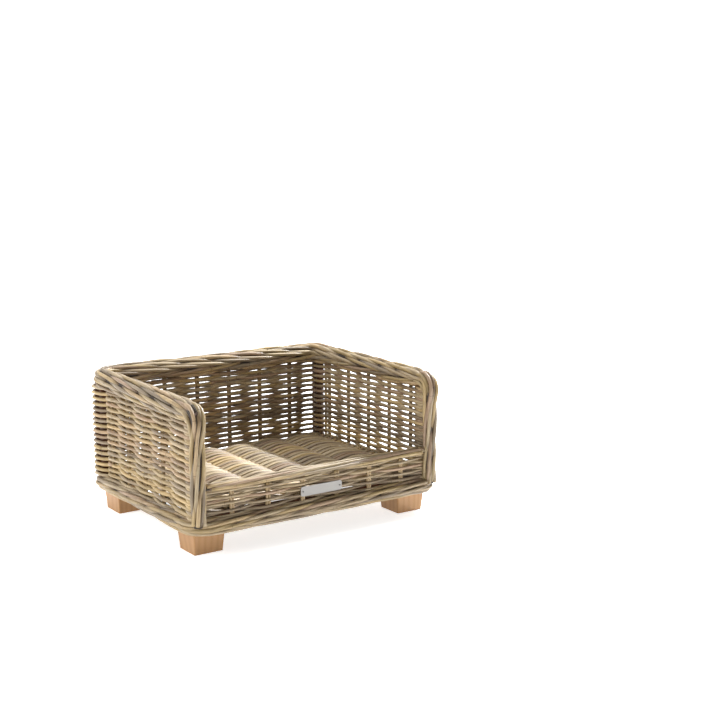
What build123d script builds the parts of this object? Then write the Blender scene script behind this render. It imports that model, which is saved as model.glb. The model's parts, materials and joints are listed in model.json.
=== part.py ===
"""Woven rattan pet basket: pole frame, stakes, weavers, rolled borders, floor, feet and name plate.

Millimetres. Origin on the ground at the middle of the footprint, +X to the basket's right-hand side,
+Y to the back, +Z up. The low entrance wall faces -Y.
"""
import math
import os

from build123d import *

# ---- overall sizes ---------------------------------------------------------------------------------------
width = 608.0  # over the foot border, along X
depth = 488.0  # over the foot border, along Y
height = 312.0  # ground to the top of the border
border_inset = 2.0  # how far the top border stays inside the foot border

# ---- borders ---------------------------------------------------------------------------------------------
foot_border_width = 40.0
foot_border_tall = 36.0
foot_border_bottom = 42.0
foot_border_rounding = 14.0
top_border_width = 44.0
top_border_tall = 50.0
top_border_rounding = 18.0
top_border_end_rounding = 12.0
edge_border_width = 34.0  # upright border at each side of the entrance, along X
edge_border_depth = 40.0  # the same, along Y
edge_border_rounding = 13.0
sill_border_width = 30.0  # border along the top of the low front wall
sill_border_tall = 20.0
sill_border_rounding = 8.0
sill_top = 146.0
corner_radius = 48.0  # outside radius of the basket's corners

# ---- pole frame ------------------------------------------------------------------------------------------
rail_diameter = 22.0
post_diameter = 18.0
sill_rail_diameter = 11.0
sill_rail_stop = 3.0  # from the end of the sill rail to the post
cross_rail_diameter = 18.0
top_rail_drop = 30.0  # top of the border down to the middle of the top rail
rail_end_gap = 8.0  # from the end of a top rail to the front face of its border

# ---- walls -----------------------------------------------------------------------------------------------
stake_diameter = 5.0
stake_pair_gap = 0.2
back_stake_spacing = 82.0  # an even number of pairs, none in the middle
side_stake_spacing = 80.0  # an odd number of pairs, one in the middle
stake_end_margin = 30.0  # least run of weave between the last pair and the end of a row
weaver_diameter = 5.4
weaver_pitch = 6.0
front_weaver_diameter = 5.8
front_weaver_pitch = 6.8
weaver_bend_radius = 40.0

# ---- floor -----------------------------------------------------------------------------------------------
floor_stake_diameter = 11.0
floor_weaver_diameter = 5.6
floor_weaver_pitch = 6.1

# ---- feet ------------------------------------------------------------------------------------------------
foot_inset_x = 57.5  # outside of the foot border to the middle of a foot, along X
foot_inset_y = 72.7  # the same along Y
foot_bottom_size = 63.0
foot_top_size = 70.0
foot_edge_radius = 2.5
foot_neck_x = 34.0
foot_neck_y = 56.0
foot_neck_wrap = 6.5  # how far the neck rises past the underside of the cross rail
screw_shank_diameter = 4.5
screw_head_diameter = 9.0
screw_head_tall = 3.5
screw_recess_diameter = 10.0
screw_recess_depth = 18.0
screw_bite = 13.0  # screw length inside the cross rail

# ---- name plate ------------------------------------------------------------------------------------------
plate_length = 99.0
plate_tall = 20.0
plate_thickness = 1.6
plate_corner = 4.0
plate_row = 2  # the plate's middle is level with the gap above this front row, counted from 0
pin_head_diameter = 3.0
pin_head_tall = 0.8
pin_inset = 5.0  # from the plate's end to the pin

# ---- clearances ------------------------------------------------------------------------------------------
weave_gap = 0.15  # between a weaver and the stakes that it passes
fit_gap = 0.25  # round a pole in its border, and round a screw
end_gap = 0.6  # where a row ends against a post, a border or a wall

# ---- places worked out from the sizes above --------------------------------------------------------------
foot_line_x = width / 2 - foot_border_width / 2
foot_line_y = depth / 2 - foot_border_width / 2
foot_across_x = width / 2 - foot_inset_x
foot_across_y = depth / 2 - foot_inset_y
wall_x = width / 2 - border_inset - top_border_width / 2
wall_y = depth / 2 - border_inset - top_border_width / 2
foot_border_top = foot_border_bottom + foot_border_tall
foot_rail_z = foot_border_bottom + foot_border_tall / 2
top_border_bottom = height - top_border_tall
top_rail_z = height - top_rail_drop
sill_border_bottom = sill_top - sill_border_tall
sill_rail_z = sill_top - sill_border_tall / 2
border_front = -(depth / 2 - border_inset)
edge_border_y = border_front + edge_border_depth / 2
front_post_y = edge_border_y
wall_offset = stake_diameter / 2 + weaver_diameter / 2 + weave_gap
front_offset = stake_diameter / 2 + front_weaver_diameter / 2 + weave_gap
wall_half = wall_offset + weaver_diameter / 2
front_half = front_offset + front_weaver_diameter / 2
floor_offset = floor_stake_diameter / 2 + floor_weaver_diameter / 2 + weave_gap
floor_half = floor_offset + floor_weaver_diameter / 2
floor_line = foot_border_top + weave_gap + floor_half
cross_rail_z = foot_rail_z
post_reach = post_diameter / 2 + end_gap
entrance_half = wall_x - edge_border_width / 2
pin_shank_diameter = front_weaver_pitch - front_weaver_diameter - 2 * weave_gap
pin_reach = front_half + end_gap - stake_diameter / 2 - fit_gap  # behind the plate, as far as the stakes

# ---- material colours ------------------------------------------------------------------------------------
rattan_colour = Color(0.62, 0.53, 0.40)
stake_colour = Color(0.72, 0.62, 0.46)
pole_colour = Color(0.48, 0.26, 0.12)
wood_colour = Color(0.78, 0.58, 0.36)
metal_colour = Color(0.80, 0.80, 0.82)


def spaced(reach, spacing, odd):
    """Positions evenly spaced about zero that stay inside the reach by the end margin."""
    room = (reach - stake_end_margin) / spacing
    count = 2 * int(room) + 1 if odd else 2 * int(room + 0.5)
    return [(i - (count - 1) / 2) * spacing for i in range(count)]


def rows_between(low, high, diameter, pitch):
    """Middles of the rows of round rods that fit between two heights, from the lower one up."""
    first = low + diameter / 2 + weave_gap
    count = int((high - weave_gap - diameter / 2 - first) / pitch) + 1
    return [first + i * pitch for i in range(count)]


side_low = edge_border_y + edge_border_depth / 2 + end_gap
side_high = wall_y - post_reach
back_reach = wall_x - post_reach
front_reach = entrance_half - end_gap
floor_reach = wall_x - wall_half - end_gap
back_stakes = spaced(front_reach, back_stake_spacing, odd=False)
side_stakes = spaced(min(-side_low, side_high), side_stake_spacing, odd=True)
high_rows = rows_between(foot_border_top, top_border_bottom, weaver_diameter, weaver_pitch)
front_rows = rows_between(foot_border_top, sill_border_bottom, front_weaver_diameter, front_weaver_pitch)
floor_front = -(wall_y - front_half - end_gap)
floor_back = wall_y - wall_half - end_gap
floor_rows = rows_between(floor_front, floor_back, floor_weaver_diameter, floor_weaver_pitch)
foot_places = {
    "front_left": (-foot_across_x, -foot_across_y),
    "front_right": (foot_across_x, -foot_across_y),
    "back_left": (-foot_across_x, foot_across_y),
    "back_right": (foot_across_x, foot_across_y),
}


def finish(part, label, colour):
    """Name a finished sub-part, colour it and write its STEP file."""
    part.label = label
    part.color = colour
    export_step(part, f"parts/{label}.step")


def weaver(plane, low, high, stations, side, diameter, offset, pair_width):
    """One row of weave: a rod that passes the stations along the plane's x on alternate sides of them."""
    flat = pair_width / 2
    points = [(low, 0)]
    for station in stations:
        points += [(station - flat, side * offset), (station + flat, side * offset)]
        side = -side
    points.append((high, 0))
    with BuildPart() as rod:
        with BuildLine(plane) as path:
            FilletPolyline(*points, radius=weaver_bend_radius)
        with BuildSketch(Plane(origin=path.line @ 0, z_dir=path.line % 0)):
            Circle(diameter / 2)
        sweep()
    return rod.part


def weave(plane, stations, diameter, offset, pair_width, rows):
    """One woven panel from rows of (place, low end, high end), which start on alternate sides."""
    rods = {}
    panel = []
    for count, (place, low, high) in enumerate(rows):
        side = 1 if count % 2 == 0 else -1
        if (side, low, high) not in rods:
            rods[side, low, high] = weaver(plane, low, high, stations, side, diameter, offset, pair_width)
        panel.append(rods[side, low, high].moved(Location(place)))
    return panel


def border_ring(ring_width, ring_depth, ring_y, thickness, bottom, tall, rounding):
    """A rolled border that follows a rectangle with rounded corners, centred at ring_y."""
    with BuildPart() as ring:
        with BuildSketch(Plane.XY.offset(bottom)):
            with Locations((0, ring_y)):
                RectangleRounded(ring_width, ring_depth, corner_radius)
                RectangleRounded(
                    ring_width - 2 * thickness,
                    ring_depth - 2 * thickness,
                    corner_radius - thickness,
                    mode=Mode.SUBTRACT,
                )
        extrude(amount=tall)
        fillet(ring.edges().group_by(Axis.Z)[0] + ring.edges().group_by(Axis.Z)[-1], radius=rounding)
    return ring.part


def bent_pole(corners, bend, diameter, close=False):
    """A round pole along straight runs joined by tangent arcs."""
    with BuildPart() as bent:
        with BuildLine() as path:
            FilletPolyline(*corners, radius=bend, close=close)
        with BuildSketch(Plane(origin=path.line @ 0, z_dir=path.line % 0)):
            Circle(diameter / 2)
        sweep()
    return bent.part


def straight_pole(start, finish_at, diameter):
    """A straight round pole between two points."""
    run = Vector(*finish_at) - Vector(*start)
    with BuildPart() as straight:
        with BuildSketch(Plane(origin=start, z_dir=run)):
            Circle(diameter / 2)
        extrude(amount=run.length)
    return straight.part


def mitre(corner_x, corner_y):
    """Upright plane through a corner at 45 degrees; its top side holds the front or the back wall."""
    across = Vector(-math.copysign(1, corner_x), math.copysign(1, corner_y), 0)
    return Plane(origin=(corner_x, corner_y, 0), z_dir=across)


def stake_pairs(stations, bottom, top, place):
    """Upright pairs of stakes; place turns a distance along the wall into x and y."""
    half_pair = (stake_diameter + stake_pair_gap) / 2
    spots = [place(station + shift) for station in stations for shift in (-half_pair, half_pair)]
    with BuildPart() as stakes:
        with BuildSketch(Plane.XY.offset(bottom)):
            with Locations(*spots):
                Circle(stake_diameter / 2)
        extrude(amount=top - bottom)
    return stakes.part


def on_back(along):
    return along, wall_y


def on_front(along):
    return along, -wall_y


def on_left(along):
    return -wall_x, along


def on_right(along):
    return wall_x, along


os.makedirs("parts", exist_ok=True)

# ---- base frame: a ring of bent poles inside the foot border, two poles across it under the floor --------
rail_bend = corner_radius - foot_border_width / 2
ring_corners = [
    (foot_line_x, -foot_line_y, foot_rail_z),
    (foot_line_x, foot_line_y, foot_rail_z),
    (-foot_line_x, foot_line_y, foot_rail_z),
    (-foot_line_x, -foot_line_y, foot_rail_z),
]
base_ring = bent_pole(ring_corners, rail_bend, rail_diameter, close=True)
base_bore = bent_pole(ring_corners, rail_bend, rail_diameter + 2 * fit_gap, close=True)
foot_ring = border_ring(
    width, depth, 0, foot_border_width, foot_border_bottom, foot_border_tall, foot_border_rounding
)
front_left_mitre = mitre(-foot_line_x, -foot_line_y)
front_right_mitre = mitre(foot_line_x, -foot_line_y)
back_left_mitre = mitre(-foot_line_x, foot_line_y)
back_right_mitre = mitre(foot_line_x, foot_line_y)
base_sides = {
    "front": (front_left_mitre, front_right_mitre, Keep.TOP),
    "back": (back_left_mitre, back_right_mitre, Keep.TOP),
    "left": (front_left_mitre, back_left_mitre, Keep.BOTTOM),
    "right": (front_right_mitre, back_right_mitre, Keep.BOTTOM),
}
cross_ends = {
    "front": ((-foot_line_x, -foot_across_y, cross_rail_z), (foot_line_x, -foot_across_y, cross_rail_z)),
    "back": ((-foot_line_x, foot_across_y, cross_rail_z), (foot_line_x, foot_across_y, cross_rail_z)),
}
cross_rails = {name: straight_pole(*ends, cross_rail_diameter) for name, ends in cross_ends.items()}
cross_bores = [straight_pole(*ends, cross_rail_diameter + 2 * fit_gap) for ends in cross_ends.values()]
post_places = {
    "back_left": (-wall_x, wall_y),
    "back_right": (wall_x, wall_y),
    "front_left": (-wall_x, front_post_y),
    "front_right": (wall_x, front_post_y),
}
post_bottom = foot_rail_z + rail_diameter / 2
post_bores = [
    straight_pole((x, y, post_bottom), (x, y, top_rail_z), post_diameter + 2 * fit_gap)
    for x, y in post_places.values()
]

for side, (first_mitre, second_mitre, kept) in base_sides.items():
    with BuildPart() as base_rail:
        add(base_ring)
        split(bisect_by=first_mitre, keep=kept)
        split(bisect_by=second_mitre, keep=kept)
    finish(base_rail.part, f"base_rail_{side}", pole_colour)

    with BuildPart() as foot_border:
        add(foot_ring)
        add(base_bore, mode=Mode.SUBTRACT)
        add(cross_bores, mode=Mode.SUBTRACT)
        add(post_bores, mode=Mode.SUBTRACT)
        split(bisect_by=first_mitre, keep=kept)
        split(bisect_by=second_mitre, keep=kept)
    finish(foot_border.part, f"foot_border_{side}", rattan_colour)

screw_top = cross_rail_z - cross_rail_diameter / 2 + screw_bite
for side, pole in cross_rails.items():
    with BuildPart() as cross_rail:
        add(pole)
        add(base_bore, mode=Mode.SUBTRACT)
        with BuildSketch(Plane.XY.offset(foot_border_bottom)):
            with Locations(*[place for name, place in foot_places.items() if name.startswith(side)]):
                Circle(screw_shank_diameter / 2 + fit_gap)
        extrude(amount=screw_top + fit_gap - foot_border_bottom, mode=Mode.SUBTRACT)
    finish(cross_rail.part, f"cross_rail_{side}", pole_colour)

# ---- feet: tapered blocks with a narrow neck that reaches the cross rail between the borders -------------
neck_top = cross_rail_z - cross_rail_diameter / 2 + foot_neck_wrap
foot_top = foot_border_bottom - fit_gap
for name, (x, y) in foot_places.items():
    with BuildPart() as foot:
        with BuildSketch(Plane.XY):
            with Locations((x, y)):
                RectangleRounded(foot_bottom_size, foot_bottom_size, foot_edge_radius)
        with BuildSketch(Plane.XY.offset(foot_top)):
            with Locations((x, y)):
                RectangleRounded(foot_top_size, foot_top_size, foot_edge_radius)
        loft()
        with BuildSketch(Plane.XY.offset(foot_top)):
            with Locations((x, y)):
                RectangleRounded(foot_neck_x, foot_neck_y, foot_edge_radius)
        extrude(amount=neck_top - foot_top)
        add(cross_bores, mode=Mode.SUBTRACT)
        with BuildSketch(Plane.XY):
            with Locations((x, y)):
                Circle(screw_shank_diameter / 2 + fit_gap)
        extrude(amount=neck_top, mode=Mode.SUBTRACT)
        with BuildSketch(Plane.XY):
            with Locations((x, y)):
                Circle(screw_recess_diameter / 2)
        extrude(amount=screw_recess_depth, mode=Mode.SUBTRACT)
    finish(foot.part, f"foot_{name}", wood_colour)

with BuildPart() as foot_screws:
    with BuildSketch(Plane.XY.offset(screw_recess_depth)):
        with Locations(*foot_places.values()):
            Circle(screw_shank_diameter / 2)
    extrude(amount=screw_top - screw_recess_depth)
    with BuildSketch(Plane.XY.offset(screw_recess_depth)):
        with Locations(*foot_places.values()):
            Circle(screw_head_diameter / 2)
    extrude(amount=-screw_head_tall)
finish(foot_screws.part, "foot_screws", metal_colour)

# ---- top frame: a bent pole round three sides, a sill pole across the entrance, and four posts -----------
top_corners = [
    (-wall_x, border_front + rail_end_gap, top_rail_z),
    (-wall_x, wall_y, top_rail_z),
    (wall_x, wall_y, top_rail_z),
    (wall_x, border_front + rail_end_gap, top_rail_z),
]
top_bend = corner_radius - top_border_width / 2
top_pole = bent_pole(top_corners, top_bend, rail_diameter)
top_bore = bent_pole(top_corners, top_bend, rail_diameter + 2 * fit_gap)
top_ring = border_ring(
    2 * wall_x + top_border_width,
    2 * (2 * wall_y + top_border_width),
    -(wall_y + top_border_width / 2),
    top_border_width,
    top_border_bottom,
    top_border_tall,
    top_border_rounding,
)
top_left_mitre = mitre(-wall_x, wall_y)
top_right_mitre = mitre(wall_x, wall_y)
top_sides = {
    "back": ((top_left_mitre, Keep.TOP), (top_right_mitre, Keep.TOP)),
    "left": ((top_left_mitre, Keep.BOTTOM), (Plane.YZ, Keep.BOTTOM)),
    "right": ((top_right_mitre, Keep.BOTTOM), (Plane.YZ, Keep.TOP)),
}
for side, cuts in top_sides.items():
    with BuildPart() as top_rail:
        add(top_pole)
        for plane, kept in cuts:
            split(bisect_by=plane, keep=kept)
    finish(top_rail.part, f"top_rail_{side}", pole_colour)

    with BuildPart() as top_border:
        add(top_ring)
        split(bisect_by=Plane.XZ.offset(-border_front), keep=Keep.BOTTOM)
        fillet(top_border.edges().group_by(Axis.Y)[0], radius=top_border_end_rounding)
        add(top_bore, mode=Mode.SUBTRACT)
        add(post_bores, mode=Mode.SUBTRACT)
        for plane, kept in cuts:
            split(bisect_by=plane, keep=kept)
    finish(top_border.part, f"top_border_{side}", rattan_colour)

for name, (x, y) in post_places.items():
    with BuildPart() as post:
        add(straight_pole((x, y, post_bottom), (x, y, top_rail_z), post_diameter))
        add(top_bore, mode=Mode.SUBTRACT)
        add(base_bore, mode=Mode.SUBTRACT)
    finish(post.part, f"post_{name}", pole_colour)

sill_reach = wall_x - post_diameter / 2 - sill_rail_stop
with BuildPart() as sill_rail:
    add(
        straight_pole(
            (-sill_reach, -wall_y, sill_rail_z), (sill_reach, -wall_y, sill_rail_z), sill_rail_diameter
        )
    )
finish(sill_rail.part, "sill_rail", pole_colour)
sill_bore = straight_pole(
    (-sill_reach, -wall_y, sill_rail_z),
    (sill_reach, -wall_y, sill_rail_z),
    sill_rail_diameter + 2 * fit_gap,
)

# ---- borders of the entrance: one up each side, one along the low front wall -----------------------------
for side, x in (("left", -wall_x), ("right", wall_x)):
    with BuildPart() as edge_border:
        with BuildSketch(Plane.XY.offset(foot_border_top)):
            with Locations((x, edge_border_y)):
                RectangleRounded(edge_border_width, edge_border_depth, edge_border_rounding)
        extrude(amount=top_border_bottom - foot_border_top)
        add(post_bores, mode=Mode.SUBTRACT)
        add(sill_bore, mode=Mode.SUBTRACT)
    finish(edge_border.part, f"edge_border_{side}", rattan_colour)

with BuildPart() as sill_border:
    with BuildSketch(Plane.YZ.offset(-entrance_half)):
        with Locations((-wall_y, sill_rail_z)):
            RectangleRounded(sill_border_width, sill_border_tall, sill_border_rounding)
    extrude(amount=2 * entrance_half)
    add(sill_bore, mode=Mode.SUBTRACT)
finish(sill_border.part, "sill_border", rattan_colour)

# ---- wall stakes -----------------------------------------------------------------------------------------
wall_stakes = {
    "back": (back_stakes, top_border_bottom, on_back),
    "left": (side_stakes, top_border_bottom, on_left),
    "right": (side_stakes, top_border_bottom, on_right),
    "front": (back_stakes, sill_border_bottom, on_front),
}
for side, (stations, top, place) in wall_stakes.items():
    with BuildPart() as stakes:
        add(stake_pairs(stations, foot_border_top, top, place))
    finish(stakes.part, f"wall_stakes_{side}", stake_colour)

# ---- wall weavers: rows that pass each pair of stakes on alternate sides ---------------------------------
stake_pair_width = 2 * stake_diameter + stake_pair_gap
left_plane = Plane(origin=(-wall_x, 0, 0), x_dir=(0, 1, 0), z_dir=(0, 0, 1))
right_plane = Plane(origin=(wall_x, 0, 0), x_dir=(0, 1, 0), z_dir=(0, 0, 1))
back_plane = Plane(origin=(0, wall_y, 0))
front_plane = Plane(origin=(0, -wall_y, 0))
wall_weaves = {
    "back": (
        (back_plane, back_stakes, weaver_diameter, wall_offset),
        [((0, 0, z), -back_reach, back_reach) for z in high_rows],
    ),
    "left": (
        (left_plane, side_stakes, weaver_diameter, wall_offset),
        [((0, 0, z), side_low, side_high) for z in high_rows],
    ),
    "right": (
        (right_plane, side_stakes, weaver_diameter, wall_offset),
        [((0, 0, z), side_low, side_high) for z in high_rows],
    ),
    "front": (
        (front_plane, back_stakes, front_weaver_diameter, front_offset),
        [((0, 0, z), -front_reach, front_reach) for z in front_rows],
    ),
}
for side, (settings, rows) in wall_weaves.items():
    with BuildPart() as weavers:
        add(weave(*settings, stake_pair_width, rows))
    finish(weavers.part, f"wall_weavers_{side}", rattan_colour)

# ---- floor: thick stakes from front to back, with close rows of weavers across them ----------------------
floor_pair = (floor_stake_diameter + stake_pair_gap) / 2
floor_places = [(x + shift, floor_line) for x in back_stakes for shift in (-floor_pair, floor_pair)]
with BuildPart() as floor_stakes:
    with BuildSketch(Plane.XZ.offset(-floor_back)):
        with Locations(*floor_places):
            Circle(floor_stake_diameter / 2)
    extrude(amount=floor_back - floor_front)
finish(floor_stakes.part, "floor_stakes", stake_colour)

floor_plane = Plane(origin=(0, 0, floor_line), x_dir=(1, 0, 0), z_dir=(0, -1, 0))
floor_pair_width = 2 * floor_stake_diameter + stake_pair_gap
floor_spans = []
for y in floor_rows:
    reach = front_reach if y < side_low + floor_weaver_diameter / 2 else floor_reach
    floor_spans.append(((0, y, 0), -reach, reach))
with BuildPart() as floor_weavers:
    add(
        weave(
            floor_plane,
            back_stakes,
            floor_weaver_diameter,
            floor_offset,
            floor_pair_width,
            floor_spans,
        )
    )
finish(floor_weavers.part, "floor_weavers", rattan_colour)

# ---- name plate, blank, held by a pin through each end into the gap between two rows ---------------------
plate_z = front_rows[0] + (plate_row + 0.5) * front_weaver_pitch
plate_back = -wall_y - front_half - end_gap
pin_spots = [(x, plate_z) for x in (plate_length / 2 - pin_inset, -plate_length / 2 + pin_inset)]
with BuildPart() as name_plate:
    with BuildSketch(Plane.XZ.offset(-plate_back)):
        with Locations((0, plate_z)):
            RectangleRounded(plate_length, plate_tall, plate_corner)
        with Locations(*pin_spots):
            Circle(pin_shank_diameter / 2, mode=Mode.SUBTRACT)
    extrude(amount=plate_thickness)
finish(name_plate.part, "name_plate", metal_colour)

with BuildPart() as plate_pins:
    with BuildSketch(Plane.XZ.offset(-plate_back + plate_thickness)):
        with Locations(*pin_spots):
            Circle(pin_shank_diameter / 2)
    extrude(amount=-(plate_thickness + pin_reach))
    with BuildSketch(Plane.XZ.offset(-plate_back + plate_thickness)):
        with Locations(*pin_spots):
            Circle(pin_head_diameter / 2)
    extrude(amount=pin_head_tall)
finish(plate_pins.part, "plate_pins", metal_colour)
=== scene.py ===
# %% [markdown]
# A woven rattan pet basket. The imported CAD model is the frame: it gives every size and place. Its plain
# weavers, stakes and borders are only tubes and slabs, so this script lays real-looking rods in their place.

# %% Load the frame
import math
import json
import random

import bmesh
import bpy
import numpy as np
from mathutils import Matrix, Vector


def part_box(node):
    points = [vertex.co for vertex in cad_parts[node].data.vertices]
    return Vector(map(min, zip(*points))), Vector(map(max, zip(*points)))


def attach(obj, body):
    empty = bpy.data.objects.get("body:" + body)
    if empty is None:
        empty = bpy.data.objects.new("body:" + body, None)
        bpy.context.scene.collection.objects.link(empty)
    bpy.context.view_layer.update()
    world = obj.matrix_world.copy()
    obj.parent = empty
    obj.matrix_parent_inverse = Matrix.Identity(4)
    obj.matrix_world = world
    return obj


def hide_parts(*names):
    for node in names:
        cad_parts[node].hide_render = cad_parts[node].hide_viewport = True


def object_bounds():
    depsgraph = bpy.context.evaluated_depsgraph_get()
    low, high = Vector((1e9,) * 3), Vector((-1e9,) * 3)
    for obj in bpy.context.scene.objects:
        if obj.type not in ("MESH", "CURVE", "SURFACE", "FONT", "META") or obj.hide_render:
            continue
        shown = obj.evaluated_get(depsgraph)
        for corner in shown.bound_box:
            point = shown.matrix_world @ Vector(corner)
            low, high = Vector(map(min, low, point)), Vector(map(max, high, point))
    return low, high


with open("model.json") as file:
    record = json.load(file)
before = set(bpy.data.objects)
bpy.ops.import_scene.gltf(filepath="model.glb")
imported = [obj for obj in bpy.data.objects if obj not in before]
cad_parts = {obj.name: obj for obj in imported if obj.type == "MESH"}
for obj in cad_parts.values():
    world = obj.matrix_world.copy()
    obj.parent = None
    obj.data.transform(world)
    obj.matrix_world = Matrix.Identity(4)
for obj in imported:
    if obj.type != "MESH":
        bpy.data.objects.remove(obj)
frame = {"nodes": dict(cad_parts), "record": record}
cad_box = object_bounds()
MM = 0.001
chance = random.Random(7)
print("nodes:", len(frame["nodes"]))

# %% [markdown]
# The camera stands to the left of the entrance, a little above the basket, and looks along a long lens. A
# long lens keeps the upright lines nearly parallel. It comes first, so that every piece is judged from it.

# %% Camera
camera_data = bpy.data.cameras.new("camera")
camera_data.lens = 66.75
camera_data.sensor_width = 36.0
camera_data.clip_end = 60.0
camera = bpy.data.objects.new("camera", camera_data)
camera.location = (-1.4415, -2.4297, 0.8426)
camera.rotation_euler = (math.radians(79.67), 0.0, math.radians(-34.95))
bpy.context.scene.collection.objects.link(camera)
bpy.context.scene.camera = camera
print("camera at", tuple(camera.location))

# %% [markdown]
# A white floor and a white screen behind the basket both glow a little, so the holes in the weave read as
# bright specks. A small strong lamp stands high on the right: its light clears the right wall and lands on
# the left half of the floor. Big soft lamps on the left and overhead light the left wall and the tops. The
# room in front stays dim, so the front faces are darker.

# %% Floor, screen and lights
BASKET_MIDDLE = (0.0, 0.0, 0.15)
NEUTRAL = (1.0, 1.0, 1.0)
COOL = (0.94, 0.97, 1.0)


def glowing_card(name, size, place, tilt, glow):
    """A flat white square that also gives off light."""
    mesh = bmesh.new()
    bmesh.ops.create_grid(mesh, x_segments=1, y_segments=1, size=size)
    data = bpy.data.meshes.new(name)
    mesh.to_mesh(data)
    mesh.free()
    card = bpy.data.objects.new(name, data)
    card.location = place
    card.rotation_euler = tilt
    bpy.context.scene.collection.objects.link(card)
    paper = bpy.data.materials.new(name + "_paper")
    paper.use_nodes = True
    shader = paper.node_tree.nodes["Principled BSDF"]
    shader.inputs["Base Color"].default_value = (0.85, 0.85, 0.85, 1.0)
    shader.inputs["Roughness"].default_value = 0.9
    shader.inputs["Emission Color"].default_value = (1.0, 1.0, 1.0, 1.0)
    shader.inputs["Emission Strength"].default_value = glow
    data.materials.append(paper)


def lamp(name, place, aim, size, power, colour):
    """A square soft lamp at a place, turned to face a point."""
    data = bpy.data.lights.new(name, "AREA")
    data.size = size
    data.energy = power
    data.color = colour
    light = bpy.data.objects.new(name, data)
    light.location = place
    light.rotation_euler = (Vector(aim) - Vector(place)).to_track_quat("-Z", "Y").to_euler()
    bpy.context.scene.collection.objects.link(light)


glowing_card("studio_floor", 14.0, (0.0, 0.0, 0.0), (0.0, 0.0, 0.0), 0.72)
glowing_card("studio_screen", 14.0, (4.0, 7.0, 0.0), (math.radians(90), 0.0, math.radians(-30)), 1.1)
lamp("key", (2.3, 0.25, 2.3), BASKET_MIDDLE, 0.3, 240.0, COOL)
lamp("soft_left", (-2.6, 0.4, 1.1), BASKET_MIDDLE, 1.8, 44.0, NEUTRAL)
lamp("soft_top", (-0.2, 0.4, 3.0), BASKET_MIDDLE, 1.8, 60.0, NEUTRAL)
sky = bpy.data.worlds.new("studio_sky")
sky.use_nodes = True
sky.node_tree.nodes["Background"].inputs["Color"].default_value = (1.0, 1.0, 1.0, 1.0)
sky.node_tree.nodes["Background"].inputs["Strength"].default_value = 0.3
bpy.context.scene.world = sky
bpy.context.scene.view_settings.view_transform = "Standard"

# %% [markdown]
# Colours are written as the hex values that a colour picker shows, and one function turns them to the linear
# numbers that Blender works in. One small function adds a node, sets it and links it. A colour ramp is a node
# too, and its stops are pairs of a place and a colour.

# %% Colour and node helpers
RAMP = "ShaderNodeValToRGB"
MIX = "ShaderNodeMix"
MULTIPLY = {"data_type": "RGBA", "blend_type": "MULTIPLY"}


def linear(hex_colour):
    """The linear RGBA of an sRGB hex colour such as 'A98F6B'."""
    channels = [int(hex_colour[i : i + 2], 16) / 255 for i in (0, 2, 4)]
    return [c / 12.92 if c <= 0.04045 else ((c + 0.055) / 1.055) ** 2.4 for c in channels] + [1.0]


def node(tree, kind, settings=None, links=None, values=None, stops=None):
    """Add a node: its properties, inputs linked from other nodes, inputs with plain values, ramp stops."""
    made = tree.nodes.new(kind)
    for key, value in (settings or {}).items():
        setattr(made, key, value)
    for key, value in (values or {}).items():
        made.inputs[key].default_value = value
    for key, source in (links or {}).items():
        tree.links.new(source, made.inputs[key])
    if stops:
        elements = made.color_ramp.elements
        for element, (place, colour) in zip(elements, (stops[0], stops[-1])):
            element.position = place
            element.color = linear(colour)
        for place, colour in stops[1:-1]:
            elements.new(place).color = linear(colour)
    return made


def new_material(name):
    """An empty node material, its tree and its shader."""
    made = bpy.data.materials.new(name)
    made.use_nodes = True
    return made, made.node_tree, made.node_tree.nodes["Principled BSDF"]


# %% [markdown]
# Kubu rattan is rattan that was soaked in mud and dried with its skin on. It is matt and grey-brown, and no
# two rods match: some stay yellow, some turn pink or nearly grey. The eye sees that before it sees the weave.
# Each rod carries a random "tone" that picks its colour, and a "grain" coordinate, the distance along the rod
# and the place round it, so that the streaks follow every bend. A third value, "buried", darkens the ends of
# a rod where it dives under the next ones: painted shade for the seams. The broadest streaks are 2 mm
# wide and 60 mm long, with finer ones inside them.

# %% Rattan rods
STREAK_SCALE = (1 / (60 * MM), 1 / (2 * MM), 1 / (2 * MM))
BLOTCH_SCALE = (1 / (25 * MM), 3 / (25 * MM), 3 / (25 * MM))
KNOT_SPACING = 180 * MM
# The colour below is painted shade for the ends of rods that dive into the seams.
PAINTED_SEAM_SHADE = "6B543A"
BLOTCH_STRENGTH = 0.32


def skin_noise(tree, grain, scale, detail):
    """Noise in a rod's own coordinates, with a scale along it and two across it."""
    place = node(tree, "ShaderNodeMapping", links={"Vector": grain}, values={"Scale": scale})
    noise = node(
        tree,
        "ShaderNodeTexNoise",
        links={"Vector": place.outputs["Vector"]},
        values={"Scale": 1.0, "Detail": detail},
    )
    return noise.outputs["Fac"]


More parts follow.
